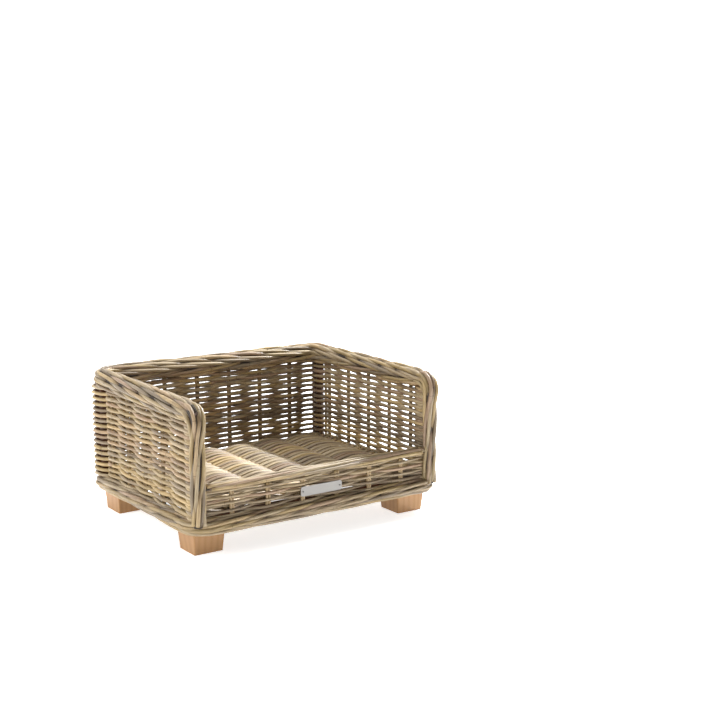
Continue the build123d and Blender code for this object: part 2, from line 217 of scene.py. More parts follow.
def skin_colour(tree, grain, streaks, palette, dark):
    """Rod-to-rod colour from a palette, then streaks, painted shade on buried ends, and dark blotches."""
    tone = node(tree, "ShaderNodeAttribute", {"attribute_name": "tone"}).outputs["Fac"]
    buried = node(tree, "ShaderNodeAttribute", {"attribute_name": "buried"}).outputs["Fac"]
    body = node(tree, RAMP, links={"Fac": tone}, stops=palette).outputs["Color"]
    streak_stops = [(0.28, "D2CBC0"), (0.5, "F0ECE6"), (0.75, "FFFFFF")]
    shade = node(tree, RAMP, links={"Fac": streaks}, stops=streak_stops).outputs["Color"]
    streaked = node(tree, MIX, MULTIPLY, {"A": body, "B": shade}, {"Factor": 0.85}).outputs["Result"]
    # Painted shade: the buried ends of rods are darkened towards the seam colour.
    seam_shade = {"B": linear(PAINTED_SEAM_SHADE)}
    seam_shaded = node(tree, MIX, MULTIPLY, {"A": streaked, "Factor": buried}, seam_shade).outputs["Result"]
    blotches = skin_noise(tree, grain, BLOTCH_SCALE, 3.0)
    blotch_stops = [(0.36, "FFFFFF"), (0.52, "000000")]
    mask = node(tree, RAMP, links={"Fac": blotches}, stops=blotch_stops).outputs["Color"]
    soften = node(tree, "ShaderNodeMath", {"operation": "MULTIPLY"}, {0: mask}, {1: BLOTCH_STRENGTH})
    share = soften.outputs["Value"]
    blotched = node(
        tree, MIX, {"data_type": "RGBA"}, {"A": seam_shaded, "Factor": share}, {"B": linear(dark)}
    )
    return blotched.outputs["Result"]


def rattan(name, palette, dark, roughness=0.5):
    """Matt rattan skin: streaked and blotched colour, a thin dark ring at each knot, and a slight relief."""
    made, tree, shader = new_material(name)
    grain = node(tree, "ShaderNodeAttribute", {"attribute_name": "grain"}).outputs["Vector"]
    streaks = skin_noise(tree, grain, STREAK_SCALE, 4.0)
    colour = skin_colour(tree, grain, streaks, palette, dark)
    along = node(tree, "ShaderNodeSeparateXYZ", links={"Vector": grain}).outputs["X"]
    turns = node(tree, "ShaderNodeMath", {"operation": "DIVIDE"}, {0: along}, {1: KNOT_SPACING})
    part = node(tree, "ShaderNodeMath", {"operation": "FRACT"}, {0: turns.outputs["Value"]})
    knot_stops = [(0.0, "7A6248"), (0.01, "FFFFFF"), (1.0, "FFFFFF")]
    knot = node(tree, RAMP, links={"Fac": part.outputs["Value"]}, stops=knot_stops).outputs["Color"]
    knotted = node(tree, MIX, MULTIPLY, {"A": colour, "B": knot}, {"Factor": 0.8})
    relief = {"Strength": 0.5, "Distance": 0.4 * MM}
    bump = node(tree, "ShaderNodeBump", links={"Height": streaks}, values=relief)
    tree.links.new(knotted.outputs["Result"], shader.inputs["Base Color"])
    tree.links.new(bump.outputs["Normal"], shader.inputs["Normal"])
    shader.inputs["Roughness"].default_value = roughness
    return made


# %% [markdown]
# Most rods take a tone from 0.1 to 1. The dark colour at 0 is painted shade, for the filler rods deep in the
# borders. The border rods are darker as painted shade for their dim faces, and a little glossier. The stakes
# stay mostly covered, so they differ less from one another.

# %% Rattan colours
KUBU = [
    # Stop 0 is painted shade: only the filler rods deep in the borders use it.
    (0.0, "44351F"),
    (0.1, "7C6B54"),
    (0.22, "94846D"),
    (0.36, "A89575"),
    (0.52, "B6A587"),
    (0.66, "A58F63"),
    (0.8, "BEA577"),
    (0.9, "A88E75"),
    (1.0, "857154"),
]
# Border colours: the weave colours darkened, as painted shade for the borders' dim faces.
KUBU_SHADED = [
    # Stop 0 is painted shade: only the filler rods deep in the borders use it.
    (0.0, "3E301C"),
    (0.1, "71624D"),
    (0.22, "877964"),
    (0.36, "9A886B"),
    (0.52, "A7977B"),
    (0.66, "97835B"),
    (0.8, "AE976D"),
    (0.9, "9A826B"),
    (1.0, "7A674D"),
]
KUBU_STAKE = [(0.0, "8A7452"), (0.5, "AE9670"), (1.0, "99835C")]
kubu_weave = rattan("kubu_rattan_weave", KUBU, "5E4A30")
kubu_border = rattan("kubu_rattan_border", KUBU_SHADED, "5E4A30", 0.48)
kubu_stake = rattan("kubu_rattan_stakes", KUBU_STAKE, "6B5436")
print("rattan materials made")

# %% [markdown]
# Every rod is a curve with its own thickness at each point, and a piece holds many rods. One curve object
# with a round bevel makes all the tubes of a piece at once, and becomes a mesh. The tubes come out ring by
# ring in the order of the curve's points, which is how each vertex gets its rod's tone and grain.

# %% Laying rods
RING_RESOLUTION = 2
SHORTEST_STEP = 0.2 * MM
GRAIN_START = 9.0


class Rod:
    """One rattan rod: points and radii in metres, a tone from 0 to 1, and how buried it is at each point."""

    def __init__(self, points, radii, tone=None, buried=0.0):
        points = np.asarray(points, dtype=float)
        radii = np.broadcast_to(np.asarray(radii, dtype=float), (len(points),))
        apart = np.r_[True, np.linalg.norm(np.diff(points, axis=0), axis=1) > SHORTEST_STEP]
        self.points = points[apart]
        self.radii = radii[apart]
        self.buried = np.broadcast_to(np.asarray(buried, dtype=float), (len(points),))[apart]
        self.tone = chance.uniform(0.1, 1.0) if tone is None else tone


def rod_curve(name, rods):
    """A curve object with one poly spline for each rod."""
    curve = bpy.data.curves.new(name, "CURVE")
    curve.dimensions = "3D"
    curve.bevel_depth = 1.0
    curve.bevel_resolution = RING_RESOLUTION
    for rod in rods:
        spline = curve.splines.new("POLY")
        spline.points.add(len(rod.points) - 1)
        spline.points.foreach_set("co", np.c_[rod.points, np.ones(len(rod.points))].ravel())
        spline.points.foreach_set("radius", rod.radii)
        spline.use_smooth = True
    return bpy.data.objects.new(name, curve)


def rod_grain(mesh, rods):
    """Write each vertex's tone, how buried it is, and its grain place: along the rod, and round it."""
    counts = [len(rod.points) for rod in rods]
    sides = len(mesh.vertices) // sum(counts)
    assert sides * sum(counts) == len(mesh.vertices), "a rod lost a ring"
    lengths = []
    for rod in rods:
        steps = np.linalg.norm(np.diff(rod.points, axis=0), axis=1)
        lengths.append(np.r_[0, np.cumsum(steps)] + chance.random() * GRAIN_START)
    shifts = [chance.random() for _ in rods]
    angle = np.tile(np.arange(sides) * 2 * math.pi / sides, sum(counts))
    along = np.repeat(np.concatenate(lengths), sides)
    thick = np.repeat(np.concatenate([rod.radii for rod in rods]), sides)
    shift = np.repeat(np.repeat(shifts, counts), sides)
    tone = np.repeat(np.repeat([rod.tone for rod in rods], counts), sides)
    buried = np.repeat(np.concatenate([rod.buried for rod in rods]), sides)
    grain = np.c_[along, thick * np.cos(angle) + shift, thick * np.sin(angle) + shift]
    mesh.attributes.new("grain", "FLOAT_VECTOR", "POINT").data.foreach_set("vector", grain.ravel())
    mesh.attributes.new("tone", "FLOAT", "POINT").data.foreach_set("value", tone)
    mesh.attributes.new("buried", "FLOAT", "POINT").data.foreach_set("value", buried)


def lay_rods(name, rods, material, stands_for=()):
    """Make one finished piece from rods, with closed ends."""
    lines = rod_curve(name + "_line", rods)
    bpy.context.scene.collection.objects.link(lines)
    bpy.context.view_layer.update()
    mesh = bpy.data.meshes.new_from_object(lines.evaluated_get(bpy.context.evaluated_depsgraph_get()))
    bpy.data.objects.remove(lines)
    rod_grain(mesh, rods)
    tubes = bmesh.new()
    tubes.from_mesh(mesh)
    bmesh.ops.holes_fill(tubes, edges=[e for e in tubes.edges if e.is_boundary], sides=0)
    tubes.to_mesh(mesh)
    tubes.free()
    mesh.name = name
    mesh.materials.clear()
    mesh.materials.append(material)
    mesh.shade_smooth()
    piece = bpy.data.objects.new(name, mesh)
    bpy.context.scene.collection.objects.link(piece)
    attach(piece, "root")
    if stands_for:
        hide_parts(*stands_for)
    triangles = sum(len(p.vertices) - 2 for p in mesh.polygons)
    print(f"{name}: {len(rods)} rods, {triangles} triangles")
    return piece


# %% [markdown]
# The walls, the rolled borders and the rods in them all follow the plan of the basket. A route is that plan
# as a line of close points, with two directions at each: "inward", to the basket's middle, and "crown",
# which is up on a level run and forward where the border turns down beside the entrance.


# %% Routes
class Route:
    """A line along straight runs with rounded right-angle corners, and its directions at any distance."""

    STEP = 2 * MM

    def __init__(self, corners, bends):
        corners = [np.asarray(c, dtype=float) for c in corners]
        points = [corners[0]]
        for before, corner, after, bend in zip(corners, corners[1:], corners[2:], bends):
            back = (before - corner) / np.linalg.norm(before - corner)
            ahead = (after - corner) / np.linalg.norm(after - corner)
            for turn in np.linspace(0, math.pi / 2, 13):
                points.append(corner + bend * (back * (1 - math.sin(turn)) + ahead * (1 - math.cos(turn))))
        points.append(corners[-1])
        points = np.array(points)
        run = np.r_[0, np.cumsum(np.linalg.norm(np.diff(points, axis=0), axis=1))]
        self.length = run[-1]
        self.s = np.linspace(0, self.length, int(self.length / self.STEP) + 1)
        self.points = np.c_[[np.interp(self.s, run, points[:, i]) for i in range(3)]].T
        heading = np.gradient(self.points, axis=0)
        self.heading = heading / np.linalg.norm(heading, axis=1)[:, None]
        self.inward = self._inward()
        self.crown = np.cross(self.inward, self.heading)

    def _inward(self):
        """Level direction to the right of travel; an upright run keeps its neighbour's."""
        level = np.c_[self.heading[:, 1], -self.heading[:, 0], np.zeros(len(self.s))]
        size = np.linalg.norm(level, axis=1)
        good = np.flatnonzero(size > 0.05)
        nearest = good[np.abs(np.arange(len(self.s))[:, None] - good[None, :]).argmin(axis=1)]
        return level[nearest] / size[nearest][:, None]

    def at(self, s, inward=0.0, crown=0.0):
        """Points at distances s, moved inward and to the crown."""
        s = np.asarray(s, dtype=float)
        base, side, top = (
            np.stack([np.interp(s, self.s, line[:, i]) for i in range(3)], axis=1)
            for line in (self.points, self.inward, self.crown)
        )
        inward = np.broadcast_to(inward, s.shape)[:, None]
        crown = np.broadcast_to(crown, s.shape)[:, None]
        return base + side * inward + top * crown


def middle(name):
    """Middle of a CAD node's box."""
    low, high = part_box(name)
    return [(a + b) / 2 for a, b in zip(low, high)]


left_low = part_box("wall_weavers_left")[0]
wall_x = middle("wall_weavers_right")[0]
wall_y = middle("wall_weavers_back")[1]
print("wall lines at", round(wall_x, 4), round(wall_y, 4))

# %% [markdown]
# The high walls are plain weave: every row passes each pair of stakes on alternate sides, and the row above
# does the opposite. The rows share one U-shaped route, so the rods run round the back corners in one piece.
# The stations are what a row meets on its way: pairs of stakes, and at each back corner a cane and a post.
# Cane and post are one group, so a row passes both on the same side.

# %% Route and stations of the wall rows
BACK_SPACING = 82 * MM
SIDE_SPACING = 80 * MM
BACK_PAIRS = 6
SIDE_PAIRS = 5
STAKE = 5.0 * MM
ROW_PITCH = 6.0 * MM
WEAVER = 7.7 * MM
CORNER_POST = 18 * MM
WALL_BEND = 14 * MM
CANE_SHIFT = 20 * MM
end_y = left_low[1] - 4 * MM
wall_route = Route(
    [(-wall_x, end_y, 0), (-wall_x, wall_y, 0), (wall_x, wall_y, 0), (wall_x, end_y, 0)],
    [WALL_BEND, WALL_BEND],
)


def spread(count, spacing):
    """Positions of count things evenly spaced about zero."""
    return [(i - (count - 1) / 2) * spacing for i in range(count)]


def wall_stations():
    """What a row passes: distance along the route, outward and inward offset, and a number for the group."""
    pass_stake = STAKE / 2 + WEAVER / 2
    pass_post = CORNER_POST / 2 + WEAVER / 2
    corner_cut = WALL_BEND * (math.sqrt(2) - 1)
    bend_loss = WALL_BEND * (2 - math.pi / 2)
    first_corner = wall_y - end_y - bend_loss / 2
    half = [(y - end_y, -pass_stake, pass_stake, k) for k, y in enumerate(spread(SIDE_PAIRS, SIDE_SPACING))]
    half.append((wall_y - CANE_SHIFT - end_y, -pass_post, pass_post, SIDE_PAIRS))
    half.append((first_corner, -(pass_post + corner_cut), pass_post - corner_cut, SIDE_PAIRS))
    for k, x in enumerate(spread(BACK_PAIRS, BACK_SPACING)[: BACK_PAIRS // 2]):
        half.append((wall_route.length / 2 + x, -pass_stake, pass_stake, SIDE_PAIRS + 1 + k))
    last_group = 2 * SIDE_PAIRS + BACK_PAIRS + 1
    other = [(wall_route.length - s, out, inward, last_group - group) for s, out, inward, group in half]
    return sorted(half + other)


stations = wall_stations()
print("a row passes", len(stations), "stations")

# %% [markdown]
# A row swings smoothly from one side of the wall to the other, and wanders a little up and down. At the
# entrance it turns round an end stake and runs back a little, which makes a close ladder of rods there. A
# real row is several rods that follow each other, so each row is cut at random places, and the rods on both
# sides of a cut run past it.

# %% One row of the walls
END_TAIL = 58 * MM
END_STAKE = 9 * MM
END_REACH = END_STAKE / 2 + WEAVER / 2
ROW_STEP = 7 * MM
ROW_WANDER = 0.7 * MM
OVERLAP = 12 * MM
row_bottom = left_low[2] - 1 * MM
row_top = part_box("top_border_left")[0][2] + 9 * MM
row_count = int((row_top - row_bottom) / ROW_PITCH) + 1


def wave(s, marks, values):
    """A smooth swing from one value to the next at the marks, level at each mark."""
    i = np.clip(np.searchsorted(marks, s, side="right") - 1, 0, len(marks) - 2)
    t = np.clip((s - marks[i]) / (marks[i + 1] - marks[i]), 0, 1)
    return values[i] + (values[i + 1] - values[i]) * (1 - np.cos(math.pi * t)) / 2


def wobble(s, size, length):
    """A slow random wander of a given size and wavelength."""
    starts = [chance.random() * 2 * math.pi for _ in range(3)]
    waves = [np.sin(2 * math.pi * s / (length * k) + a) for k, a in zip((1.0, 0.61, 1.7), starts)]
    return size * sum(waves) / 2


def end_turn(outward_first, z, at_start):
    """Points round the end stake from one side of the wall to the other, with a short tail along it."""
    turn = np.linspace(0, math.pi, 9)
    across = np.cos(turn) * END_REACH * (-1 if outward_first else 1)
    across = np.r_[across, across[-1] * np.array([1.0, 0.95, 0.9])]
    ahead = np.r_[np.sin(turn) * END_REACH, -END_TAIL * np.array([0.4, 0.75, 1.0])]
    side = -wall_x if at_start else wall_x
    inward = 1 if at_start else -1
    return np.c_[side + inward * across, end_y - ahead, np.full(len(ahead), z)]


def row_cuts():
    """Distances at which the rods of one row meet."""
    cuts = [0.0]
    while cuts[-1] < wall_route.length - 0.5:
        cuts.append(cuts[-1] + chance.uniform(0.3, 0.7))
    cuts[-1] = wall_route.length
    return cuts


def weave_row(row):
    """The rods of one row of the three high walls, each with the distance of its middle."""
    marks = np.array([0.0] + [station[0] for station in stations] + [wall_route.length])
    ends = (-END_REACH, END_REACH)
    last = (2 * SIDE_PAIRS + BACK_PAIRS + 3 + row) % 2
    values = [station[1:3][(station[3] + 1 + row) % 2] for station in stations]
    values = np.array([ends[row % 2]] + values + [ends[last]])
    s = np.linspace(0, wall_route.length, int(wall_route.length / ROW_STEP))
    lift = wobble(s, ROW_WANDER, 0.22)
    points = wall_route.at(s, wave(s, marks, values))
    points[:, 2] = row_bottom + row * ROW_PITCH + lift
    rods = []
    cuts = row_cuts()
    for start, stop in zip(cuts, cuts[1:]):
        run = points[(s >= start - OVERLAP) & (s <= stop + OVERLAP)]
        if start == 0.0:
            run = np.r_[end_turn(values[0] < 0, run[0][2], True)[::-1], run[1:]]
        if stop == wall_route.length:
            run = np.r_[run[:-1], end_turn(values[-1] < 0, run[-1][2], False)]
        thick = WEAVER / 2 * chance.uniform(0.88, 1.08)
        taper = np.linspace(1.04, 0.95, len(run)) * (1 + 0.03 * np.sin(np.arange(len(run)) / 5.0))
        rods.append(((start + stop) / 2, Rod(run, thick * taper)))
    return rods


# %% [markdown]
# Each rod goes to the wall that its middle lies on, so that each wall is one piece.

# %% The three high walls
left_end = stations[SIDE_PAIRS][0]
right_end = wall_route.length - left_end
panels = {"left": [], "back": [], "right": []}
for row in range(row_count):
    for place, rod in weave_row(row):
        side = "left" if place < left_end else "right" if place > right_end else "back"
        panels[side].append(rod)
for side, rods in panels.items():
    lay_rods(f"weave_{side}", rods, kubu_weave, [f"wall_weavers_{side}"])

# %% [markdown]
# Stakes are straighter than the weavers, because most of their length stays covered. They stand in pairs,
# wander a little, and reach up into the top border. One more pair closes each side wall at the entrance.

# %% Wall stakes
PAIR_SHIFTS = (-0.52 * STAKE, 0.52 * STAKE)
STAKE_RADIUS = 0.56 * STAKE
STAKE_POINTS = 12
TUCK = 12 * MM
stakes_low, stakes_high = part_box("wall_stakes_back")
stake_bottom = stakes_low[2] - TUCK
stake_top = stakes_high[2] + TUCK


def stake_rods(places, bottom, top, along):
    """Pairs of upright rods; along is the unit direction of the wall."""
    rods = []
    along = np.array(along, dtype=float)
    for place in places:
        for shift in PAIR_SHIFTS:
            z = np.linspace(bottom, top, STAKE_POINTS)
            drift = wobble(z, 0.35 * MM, 0.15)[:, None] * along
            line = np.c_[np.array(place) + along * shift + drift, z]
            rods.append(Rod(line, STAKE_RADIUS * chance.uniform(0.94, 1.06)))
    return rods


side_places = {"left": -wall_x, "right": wall_x}
for side, x in side_places.items():
    pairs = [(x, y) for y in spread(SIDE_PAIRS, SIDE_SPACING)]
    rods = stake_rods(pairs, stake_bottom, stake_top, (0, 1))
    rods += stake_rods([(x, end_y)], stake_bottom, stake_top, (1, 0))
    lay_rods(f"stakes_{side}", rods, kubu_stake, [f"wall_stakes_{side}"])
back_places = [(x, wall_y) for x in spread(BACK_PAIRS, BACK_SPACING)]
rods = stake_rods(back_places, stake_bottom, stake_top, (1, 0))
lay_rods("stakes_back", rods, kubu_stake, ["wall_stakes_back"])

# %% [markdown]
# The floor has pairs of thick stakes from front to back, and its weavers are packed so tightly that only
# the rods on top show. Over each pair of stakes they form a long hump, with a narrow valley between one hump
# and the next. Each row swings over and under by nearly a whole stake, and neighbours swing the opposite way.

# %% Floor
FLOOR_STAKE_APART = 11 * MM
FLOOR_STAKE_RADIUS = 4.62 * MM
FLOOR_STAKE_POINTS = 20
FLOOR_WEAVER = 6.4 * MM
FLOOR_PITCH = 9.2 * MM
FLOOR_SWING = 8.2 * MM
floor_low, floor_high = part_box("floor_weavers")
floor_middle = (floor_low[2] + floor_high[2]) / 2


def floor_row(count, y):
    """One row of the floor: two weavers side by side."""
    reach = floor_high[0] - 1 * MM
    x = np.linspace(-reach, reach, 96)
    outer = reach + BACK_SPACING / 2
    marks = np.array([-outer] + spread(BACK_PAIRS, BACK_SPACING) + [outer])
    signs = np.array([(-1) ** (k + count) for k in range(len(marks))], dtype=float)
    z = floor_middle + wave(x, marks, signs * FLOOR_SWING)
    drift = wobble(x, 0.5 * MM, 0.3)
    taper = np.linspace(1.03, 0.97, len(x))
    rods = []
    for shift in (-0.49, 0.49):
        points = np.c_[x, y + drift + shift * FLOOR_WEAVER, z + chance.uniform(-0.3, 0.3) * MM]
        rods.append(Rod(points, FLOOR_WEAVER / 2 * chance.uniform(0.94, 1.06) * taper))
    return rods


floor_rows = int((floor_high[1] - floor_low[1] - FLOOR_WEAVER) / FLOOR_PITCH)
rods = []
for i in range(floor_rows):
    rods += floor_row(i, floor_low[1] + FLOOR_WEAVER + i * FLOOR_PITCH)
lay_rods("floor_weave", rods, kubu_weave, ["floor_weavers"])
stake_line = np.linspace(floor_low[1], floor_high[1], FLOOR_STAKE_POINTS)
rods = []
for x in spread(BACK_PAIRS, BACK_SPACING):
    for shift in (-FLOOR_STAKE_APART / 2, FLOOR_STAKE_APART / 2):
        line = [(x + shift, y, floor_middle) for y in stake_line]
        rods.append(Rod(line, FLOOR_STAKE_RADIUS))
lay_rods("floor_sticks", rods, kubu_stake, ["floor_stakes"])

# %% [markdown]
# A rolled border hides the rails. Its rods lie in narrow lanes that follow the rim. Each rod comes up on one
# side of its lane, crosses it slowly on a long slant, and dives on the other side, so two rods together look
# like a long lens. Across is an angle round the rim: 0 at the crown, negative outside, positive inside.


# %% Rolled borders
class Lane:
    """A strip between two angles; its rods cross from the first to the last while they run along."""

    def __init__(self, first, last, run):
        self.first = math.radians(first)
        self.last = math.radians(last)
        self.run = run


class Border:
    """A border's half sizes at distances along its route, its lanes, its rods and how deep they dive."""

    def __init__(self, route, sizes, lanes, rod, dive, closed=False):
        self.route = route
        self.sizes = np.array(sizes, dtype=float)
        self.lanes = lanes
        self.rod = rod
        self.dive = dive
        self.closed = closed

    def ring(self, s, angle, depth):
        """Points at an angle round the border, some depth below its surface."""
        wide = np.interp(s, self.sizes[:, 0], self.sizes[:, 1]) - depth
        tall = np.interp(s, self.sizes[:, 0], self.sizes[:, 2]) - depth
        place = s % self.route.length if self.closed else s
        return self.route.at(place, wide * np.sin(angle), tall * np.cos(angle))

    def inside(self, s):
        """Which of the distances lie on the border."""
        return (s > -1) if self.closed else (s >= self.sizes[0, 0]) & (s <= self.sizes[-1, 0])


# %% [markdown]
# The rods of a lane follow each other at about half a rod's length. A rod is highest at its middle and dives
# at both ends. Filler rods under the seams between lanes stand for the border's core, painted dark as shade.

# %% Rods of a border
FILLER_RADIUS = 4.4 * MM
FILLER_DEPTH = 1.3
PAIR_GAPS = (0.42, 0.56)


def lane_rods(border, lane, start, stop):
    """The rods of one lane that begin between two distances, in loose pairs."""
    rods = []
    begin = start - lane.run * chance.uniform(0.0, 0.2)
    turn = 0
    while begin < stop:
        lift = chance.uniform(-0.7, 0.7) * MM
        t = np.linspace(0, 1, 20)
        s = begin + t * lane.run * chance.uniform(0.94, 1.1)
        keep = border.inside(s)
        if keep.sum() > 3:
            angle = lane.first + (lane.last - lane.first) * (t + 0.05 * np.sin(2 * math.pi * t))
            depth = border.rod / 2 + border.dive * (1 - np.sin(math.pi * t) ** 0.75) - lift
            thick = border.rod / 2 * chance.uniform(0.9, 1.06)
            points = border.ring(s[keep], angle[keep], depth[keep])
            # How buried each point is: it sets the painted shade where the rod dives into the seam.
            buried = np.clip(0.9 - 1.4 * np.sin(math.pi * t[keep]), 0, 1)
            rods.append(Rod(points, thick * np.linspace(1.04, 0.94, keep.sum()), buried=buried))
        begin += lane.run * PAIR_GAPS[turn % 2] * chance.uniform(0.94, 1.06)
        turn += 1
    return rods


def filler_rods(border, start, stop):
    """Rods deep in the border, dark with painted shade, so that no seam between lanes is open."""
    rods = []
    s = np.linspace(start, stop, int((stop - start) / (12 * MM)) + 4)
    s = s[border.inside(s)]
    for lane in border.lanes:
        for angle in (lane.first, (lane.first + lane.last) / 2, lane.last):
            line = border.ring(s, np.full(len(s), angle), border.rod * FILLER_DEPTH)
            # Tone 0 and some seam darkening make these rods painted shade deep in the border.
            rods.append(Rod(line, FILLER_RADIUS, tone=0.0, buried=0.4))
    return rods


def lay_border(name, border, start, stop, stands_for):
    """One finished stretch of a border."""
    rods = filler_rods(border, start, stop)
    first_piece = start <= border.sizes[0, 0] and not border.closed
    for lane in border.lanes:
        early = lane.run * 0.85 if first_piece else 0.0
        rods += lane_rods(border, lane, start - early, stop)
    return lay_rods(name, rods, kubu_border, stands_for)


# %% [markdown]
# One route carries the borders of the high walls. It climbs the edge beside the entrance on the left, runs
# round three sides and comes down the other edge. The edge rods bend over the corner and end under the rods
# of the top border, so each border's half sizes change near the corner.

# %% Route of the rim
BORDER_ROD = 8.2 * MM
TOP_HALF_WIDE = 22 * MM
EDGE_HALF_WIDE = 17 * MM
EDGE_HALF_DEEP = 15 * MM
RIM_BEND = 30 * MM
RIM_DROP = 22 * MM
border_low, border_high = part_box("top_border_back")
edge_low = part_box("edge_border_left")[0]
top_middle = (border_low[2] + border_high[2]) / 2
top_half_tall = (border_high[2] - border_low[2]) / 2
edge_y = edge_low[1] + EDGE_HALF_DEEP
edge_foot = edge_low[2] - 14 * MM
rim_route = Route(
    [
        (-wall_x, edge_y, edge_foot),
        (-wall_x, edge_y, top_middle),
        (-wall_x, wall_y, top_middle),
        (wall_x, wall_y, top_middle),
        (wall_x, edge_y, top_middle),
        (wall_x, edge_y, edge_foot),
    ],
    [RIM_DROP, RIM_BEND, RIM_BEND, RIM_DROP],
)
drop_loss = RIM_DROP * (2 - math.pi / 2)
bend_loss = RIM_BEND * (2 - math.pi / 2)
front_corner = top_middle - edge_foot - drop_loss / 2
back_corner = front_corner + wall_y - edge_y - drop_loss / 2 - bend_loss / 2
whole = rim_route.length
print("rim is", round(whole, 3), "m long")

# %% [markdown]
# Seven lanes lie round the top border, from under its outer side to under its inner side. The rods of the
# last one rise the other way, as they do on the real rim.

# %% Top border
top_border = Border(
    rim_route,
    [
        (front_corner - 6 * MM, 11 * MM, 12 * MM),
        (front_corner + 34 * MM, TOP_HALF_WIDE, top_half_tall),
        (whole - front_corner - 34 * MM, TOP_HALF_WIDE, top_half_tall),
        (whole - front_corner + 6 * MM, 11 * MM, 12 * MM),
    ],
    [
        Lane(-150, -108, 150 * MM),
        Lane(-112, -66, 150 * MM),
        Lane(-70, -24, 150 * MM),
        Lane(-28, 16, 150 * MM),
        Lane(12, 56, 145 * MM),
        Lane(52, 98, 145 * MM),
        Lane(134, 90, 150 * MM),
    ],
    BORDER_ROD,
    6.5 * MM,
)
rim_stops = {
    "left": (front_corner - 6 * MM, back_corner),
    "back": (back_corner, whole - back_corner),
    "right": (whole - back_corner, whole - front_corner + 6 * MM),
}
for side, (start, stop) in rim_stops.items():
    lay_border(f"rim_{side}", top_border, start, stop, [f"top_border_{side}"])

# %% [markdown]
# The edges have four lanes. They widen where they bend over the corner, and their last stretch lies inside
# the top border.

# %% Edge borders
EDGE_DIVE = 7.5 * MM
edge_sizes = [
    (0.0, EDGE_HALF_WIDE, EDGE_HALF_DEEP),
    (front_corner - 45 * MM, EDGE_HALF_WIDE, EDGE_HALF_DEEP),
    (front_corner + 8 * MM, 21 * MM, top_half_tall + 1 * MM),
    (front_corner + 44 * MM, 16 * MM, 17 * MM),
]
EDGE_RUN = 150 * MM
EDGE_LANES = [
    Lane(-132, -58, EDGE_RUN),
    Lane(-72, 2, EDGE_RUN),
    Lane(-2, 72, EDGE_RUN),
    Lane(58, 132, EDGE_RUN),
]
right_sizes = [(whole - s, wide, tall) for s, wide, tall in reversed(edge_sizes)]
edge_borders = {
    "left": Border(rim_route, edge_sizes, EDGE_LANES, BORDER_ROD, EDGE_DIVE),
    "right": Border(rim_route, right_sizes, EDGE_LANES, BORDER_ROD, EDGE_DIVE),
}
for side, border in edge_borders.items():
    lay_border(f"edge_{side}", border, border.sizes[0, 0], border.sizes[-1, 0], [f"edge_border_{side}"])

# %% [markdown]
# The foot border is rolled the same way all round the basket. Its route starts and ends at the middle of the
# front. A rod belongs to the piece where it begins and may run on past its end, so the border shows no seam.
# The front is two pieces, and the second one stands for the front's CAD node.

# %% Foot border
foot_low, foot_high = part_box("foot_border_back")
FOOT_HALF_WIDE = 20 * MM
FOOT_BEND = 28 * MM
foot_middle = (foot_low[2] + foot_high[2]) / 2
foot_half_tall = (foot_high[2] - foot_low[2]) / 2
foot_x = cad_box[1][0] - FOOT_HALF_WIDE
foot_y = cad_box[1][1] - FOOT_HALF_WIDE
foot_left = [(-foot_x, -foot_y, foot_middle), (-foot_x, foot_y, foot_middle)]
foot_right = [(foot_x, foot_y, foot_middle), (foot_x, -foot_y, foot_middle)]
foot_start = [(0, -foot_y, foot_middle)]
foot_route = Route(foot_start + foot_left + foot_right + foot_start, [FOOT_BEND] * 4)
foot_border = Border(
    foot_route,
    [(0.0, FOOT_HALF_WIDE, foot_half_tall), (foot_route.length, FOOT_HALF_WIDE, foot_half_tall)],
    [
        Lane(110, 62, 140 * MM),
        Lane(64, 14, 140 * MM),
        Lane(18, -34, 145 * MM),
        Lane(-30, -80, 145 * MM),
        Lane(-76, -124, 150 * MM),
        Lane(-168, -122, 240 * MM),
    ],
    BORDER_ROD,
    6.0 * MM,
    closed=True,
)
short = FOOT_BEND * (2 - math.pi / 2)
side_runs = [2 * foot_y - short, 2 * foot_x - short, 2 * foot_y - short]
foot_marks = np.cumsum([0.0, foot_x - short / 2] + side_runs)
foot_marks = list(foot_marks) + [foot_route.length]
foot_nodes = {
    "front_left": [],
    "left": ["foot_border_left"],
    "back": ["foot_border_back"],
    "right": ["foot_border_right"],
    "front_right": ["foot_border_front"],
}
for (side, nodes), start, stop in zip(foot_nodes.items(), foot_marks, foot_marks[1:]):
    lay_border(f"foot_rim_{side}", foot_border, start, stop, nodes)

# %% [markdown]
# The low front wall is looser. Its rows wander up and down, with dark gaps between them, and the pairs of
# stakes stand a little further out, so that they show between the rows.

# %% Front wall
FRONT_ROWS = 9
FRONT_ROD = 6.7 * MM
front_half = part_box("wall_weavers_front")[1][0]
sill_low, sill_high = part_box("sill_border")
front_bottom = foot_high[2] - 5 * MM
front_top = sill_low[2] + 4 * MM
front_pitch = (front_top - front_bottom) / FRONT_ROWS


def front_row(count):
    """One loose row of the low front wall."""
    x = np.linspace(-front_half - 10 * MM, front_half + 10 * MM, 80)
    marks = np.array([-front_half - 0.05] + spread(BACK_PAIRS, BACK_SPACING) + [front_half + 0.05])
    signs = np.array([(-1) ** (k + count) for k in range(len(marks))], dtype=float)
    y = -wall_y + wave(x, marks, signs * (STAKE / 2 + FRONT_ROD / 2))
    z = front_bottom + (count + 0.45) * front_pitch + wobble(x, 1.5 * MM, 0.35)
    return Rod(np.c_[x, y, z], FRONT_ROD / 2 * chance.uniform(0.84, 1.08))


